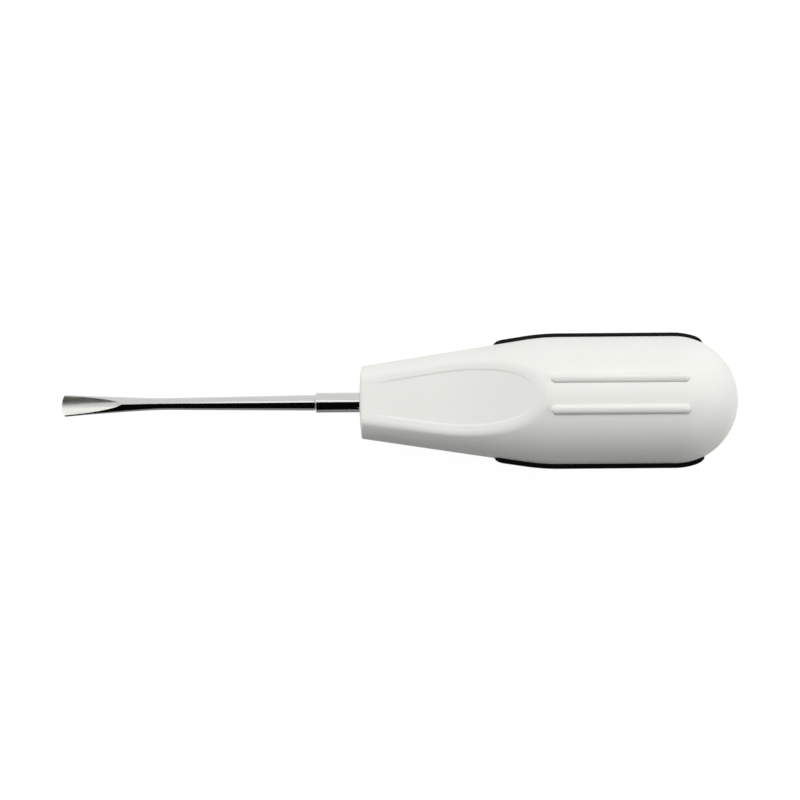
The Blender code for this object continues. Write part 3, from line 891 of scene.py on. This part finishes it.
class NodeTable:
    """Adds nodes to a material and joins them by name."""

    def __init__(self, name):
        self.material = bpy.data.materials.new(name)
        self.material.use_nodes = True
        self.tree = self.material.node_tree
        self.shader = self.tree.nodes["Principled BSDF"]
        self.coordinates = self.tree.nodes.new("ShaderNodeTexCoord").outputs["Object"]

    def add(self, kind, inputs=None, **settings):
        node = self.tree.nodes.new(kind)
        for key, value in settings.items():
            setattr(node, key, value)
        for key, value in (inputs or {}).items():
            if isinstance(value, bpy.types.NodeSocket):
                self.tree.links.new(value, node.inputs[key])
            else:
                node.inputs[key].default_value = value
        return node

    def noise(self, stretch, detail):
        """Noise whose features are 1/stretch metres long along each axis."""
        mapping = self.add("ShaderNodeMapping", {"Vector": self.coordinates, "Scale": stretch})
        inputs = {"Vector": mapping.outputs[0], "Scale": 1.0, "Detail": detail}
        return self.add("ShaderNodeTexNoise", inputs).outputs[0]

    def ranged(self, value, span, result):
        """Stretch the span of a value to the two ends of the result."""
        inputs = {"Value": value, "From Min": span[0], "From Max": span[1],
                  "To Min": result[0], "To Max": result[1]}
        return self.add("ShaderNodeMapRange", inputs).outputs[0]

    def vary_colour(self, pattern, span, colour, tones):
        """Let a pattern move the base colour between two tones of it."""
        factor = self.ranged(pattern, span, (0.0, 1.0))
        node = self.add("ShaderNodeMix", {"Factor": factor}, data_type="RGBA")
        for socket, tone in zip((COLOUR_A, COLOUR_B), tones):
            toned = [min(1.0, channel * tone) for channel in colour]
            node.inputs[socket].default_value = (*toned, 1.0)
        self.wear("Base Color", node.outputs[COLOUR_RESULT])

    def bump(self, height, strength, distance):
        node = self.add("ShaderNodeBump", {"Height": height, "Strength": strength, "Distance": distance})
        self.wear("Normal", node.outputs[0])

    def wear(self, socket, value):
        self.tree.links.new(value, self.shader.inputs[socket])

    def show(self, shader):
        self.tree.links.new(shader.outputs[0], self.tree.nodes["Material Output"].inputs["Surface"])


def steel_material(name, colour, rough):
    """Steel with fine grinding lines along the instrument."""
    table = NodeTable(name)
    table.shader.inputs["Metallic"].default_value = 1.0
    lines = table.noise(STEEL_LINES, LINE_DETAIL)
    cloud = table.noise(STEEL_CLOUD, CLOUD_DETAIL)
    table.vary_colour(lines, NARROW_RANGE, colour, STEEL_TONES)
    fine = table.ranged(lines, BROAD_RANGE, [rough * part for part in STEEL_ROUGH_SHARES])
    broad = table.ranged(cloud, BROAD_RANGE, STEEL_ROUGH_DRIFT)
    table.wear("Roughness", table.add("ShaderNodeMath", {0: fine, 1: broad}, operation="ADD").outputs[0])
    table.bump(lines, *STEEL_BUMP)
    return table.material


def plastic_material():
    """Satin moulded plastic with a faint spark texture and hardly any change of tone."""
    finishes = bpy.context.scene.elevator_finishes
    table = NodeTable("white_plastic")
    table.shader.inputs["Specular IOR Level"].default_value = PLASTIC_SPECULAR
    cloud = table.noise(PLASTIC_CLOUD, CLOUD_DETAIL)
    grain = table.noise(PLASTIC_GRAIN, CLOUD_DETAIL)
    table.vary_colour(cloud, BROAD_RANGE, finishes.plastic, PLASTIC_TONES)
    roughness = [finishes.plastic_roughness + drift for drift in PLASTIC_ROUGH_DRIFT]
    table.wear("Roughness", table.ranged(grain, BROAD_RANGE, roughness))
    table.bump(grain, *PLASTIC_BUMP)
    return table.material


def rubber_material():
    """Black rubber with a soft sheen and a fine matt grain."""
    finishes = bpy.context.scene.elevator_finishes
    table = NodeTable("black_rubber")
    table.shader.inputs["Specular IOR Level"].default_value = RUBBER_SPECULAR
    cloud = table.noise(RUBBER_CLOUD, CLOUD_DETAIL)
    grain = table.noise(RUBBER_GRAIN, CLOUD_DETAIL)
    table.vary_colour(cloud, BROAD_RANGE, finishes.rubber, RUBBER_TONES)
    roughness = [finishes.rubber_roughness + drift for drift in RUBBER_ROUGH_DRIFT]
    table.wear("Roughness", table.ranged(grain, BROAD_RANGE, roughness))
    table.bump(grain, *RUBBER_BUMP)
    return table.material


# Stage

def seen_straight(tree):
    """One for a ray from the camera, a reflection or a view through glass, zero for the light itself."""
    path = tree.nodes.new("ShaderNodeLightPath")
    seen = path.outputs["Is Camera Ray"]
    for name in ("Is Glossy Ray", "Is Transmission Ray"):
        either = tree.nodes.new("ShaderNodeMath")
        either.operation = "MAXIMUM"
        tree.links.new(seen, either.inputs[0])
        tree.links.new(path.outputs[name], either.inputs[1])
        seen = either.outputs[0]
    return seen


def floor_material(colour):
    """Pale floor that reads as white where it is seen, and keeps a soft trace of the shadow."""
    table = NodeTable("pale_floor")
    table.shader.inputs["Base Color"].default_value = (*colour, 1.0)
    table.shader.inputs["Roughness"].default_value = FLOOR_ROUGHNESS
    table.shader.inputs["Specular IOR Level"].default_value = FLOOR_SPECULAR
    glow = table.add("ShaderNodeEmission", {"Color": WHITE, "Strength": FLOOR_GLOW})
    amount = table.ranged(seen_straight(table.tree), (0.0, 1.0), (0.0, FLOOR_GLOW_SHARE))
    mixed = table.add("ShaderNodeMixShader", {0: amount, 1: table.shader.outputs[0], 2: glow.outputs[0]})
    table.show(mixed)
    return table.material


def card_material(name, level):
    """An even tone that doesn't depend on the lamps."""
    table = NodeTable(name)
    table.show(table.add("ShaderNodeEmission", {"Color": WHITE, "Strength": level}))
    return table.material


def build_world():
    """White to the camera and in reflections; its light is soft, and weaker from the -Y side."""
    world = bpy.data.worlds.new("studio")
    bpy.context.scene.world = world
    world.use_nodes = True
    tree = world.node_tree
    background = tree.nodes["Background"]
    parts = tree.nodes.new("ShaderNodeSeparateXYZ")
    tree.links.new(tree.nodes.new("ShaderNodeTexCoord").outputs["Generated"], parts.inputs[0])
    side = tree.nodes.new("ShaderNodeMapRange")
    side.interpolation_type = "SMOOTHSTEP"
    tree.links.new(parts.outputs["Y"], side.inputs["Value"])
    ends = {"From Min": -SKY_TURN, "From Max": SKY_TURN, "To Min": SKY_RIGHT, "To Max": SKY_LEFT}
    for key, value in ends.items():
        side.inputs[key].default_value = value
    chosen = tree.nodes.new("ShaderNodeMix")
    tree.links.new(seen_straight(tree), chosen.inputs["Factor"])
    tree.links.new(side.outputs[0], chosen.inputs[NUMBER_A])
    chosen.inputs[NUMBER_B].default_value = 1.0
    tree.links.new(chosen.outputs[NUMBER_RESULT], background.inputs["Strength"])
    background.inputs["Color"].default_value = WHITE


def add_card(name, near, far, level, start=-CARD_REACH):
    """A studio card along the instrument, between two edges. It only shows in reflections."""
    bpy.ops.mesh.primitive_plane_add(size=1.0)
    card = bpy.context.active_object
    card.name = name
    corners = [(x, y, z) for y, z in (near, far) for x in (start, CARD_REACH)]
    for vertex, corner in zip(card.data.vertices, corners):
        vertex.co = corner
    card.data.materials.append(card_material(name, level))
    card.visible_camera = False
    card.visible_diffuse = False
    card.visible_transmission = False
    card.visible_shadow = False


def add_soft_box(name, place, size, power, target):
    bpy.ops.object.light_add(type="AREA", location=place)
    lamp = bpy.context.active_object
    lamp.name = name
    lamp.data.shape = "RECTANGLE"
    lamp.data.size, lamp.data.size_y = size
    lamp.data.energy = power
    lamp.visible_glossy = False
    lamp.rotation_euler = (target - lamp.location).to_track_quat("-Z", "Y").to_euler()


class ELEVATOR_OT_stage(bpy.types.Operator):
    """Pale floor, soft light and the camera of the photograph"""
    bl_idname = "elevator.stage"
    bl_label = "Stage"

    def execute(self, context):
        stage = context.scene.elevator_stage
        start_clean()
        bpy.ops.mesh.primitive_plane_add(size=stage.floor_size)
        floor = context.active_object
        floor.name = "floor"
        floor.data.materials.append(floor_material(stage.floor_colour))
        add_card("black_card", BLACK_CARD_FOOT, BLACK_CARD_TOP, BLACK_CARD_LEVEL)
        add_card("grey_card", GREY_CARD_NEAR, BLACK_CARD_FOOT, GREY_CARD_LEVEL)
        add_card("white_card", BLACK_CARD_TOP, WHITE_CARD_FAR, WHITE_CARD_LEVEL, start=WHITE_CARD_START)
        build_world()
        target = Vector((PICTURE_SHIFT[0], PICTURE_SHIFT[1], axis_height()))
        add_soft_box("key_light", KEY_PLACE, KEY_SIZE, stage.key_power, target)
        add_soft_box("rear_light", REAR_PLACE, REAR_SIZE, stage.rear_power, target)
        add_soft_box("front_light", FRONT_PLACE, FRONT_SIZE, stage.front_power, target)
        tilt = stage.camera_tilt
        back = Vector((0.0, -math.sin(tilt), math.cos(tilt)))
        bpy.ops.object.camera_add(location=target + back * stage.camera_distance)
        camera = context.active_object
        camera.name = "photo_camera"
        facing = (-back).to_track_quat("-Z", "Y").to_matrix()
        facing = facing @ Matrix.Rotation(-stage.camera_roll, 3, "Z")
        camera.rotation_euler = facing.to_euler()
        camera.data.lens = stage.focal_length
        camera.data.sensor_width = SENSOR_WIDTH
        camera.data.clip_start = CLIP_START
        context.scene.camera = camera
        context.scene.view_settings.view_transform = "Standard"
        return {"FINISHED"}


class ELEVATOR_PT_panel(bpy.types.Panel):
    bl_label = "Luxating Root Elevator"
    bl_idname = "ELEVATOR_PT_panel"
    bl_space_type = "VIEW_3D"
    bl_region_type = "UI"
    bl_category = "Elevator"

    def draw(self, context):
        for step in STEPS:
            self.layout.operator(step.bl_idname)
        for key in GROUPS:
            group = getattr(context.scene, key)
            box = self.layout.box()
            for field in group.__annotations__:
                box.prop(group, field)


STEPS = (ELEVATOR_OT_blade_shank, ELEVATOR_OT_handle, ELEVATOR_OT_strips, ELEVATOR_OT_stage)
GROUPS = {
    "elevator_steel": ElevatorSteelSizes,
    "elevator_handle": ElevatorHandleSizes,
    "elevator_strips": ElevatorStripSizes,
    "elevator_finishes": ElevatorFinishes,
    "elevator_stage": ElevatorStage,
}


def register():
    for kind in (*GROUPS.values(), *STEPS, ELEVATOR_PT_panel):
        bpy.utils.register_class(kind)
    for key, kind in GROUPS.items():
        setattr(bpy.types.Scene, key, bpy.props.PointerProperty(type=kind))


def unregister():
    for key in GROUPS:
        delattr(bpy.types.Scene, key)
    for kind in (ELEVATOR_PT_panel, *reversed(STEPS), *reversed(tuple(GROUPS.values()))):
        bpy.utils.unregister_class(kind)


def main():
    register()
    bpy.ops.elevator.blade_shank()
    bpy.ops.elevator.handle()
    bpy.ops.elevator.strips()
    bpy.ops.elevator.stage()


if __name__ == "__main__":
    main()
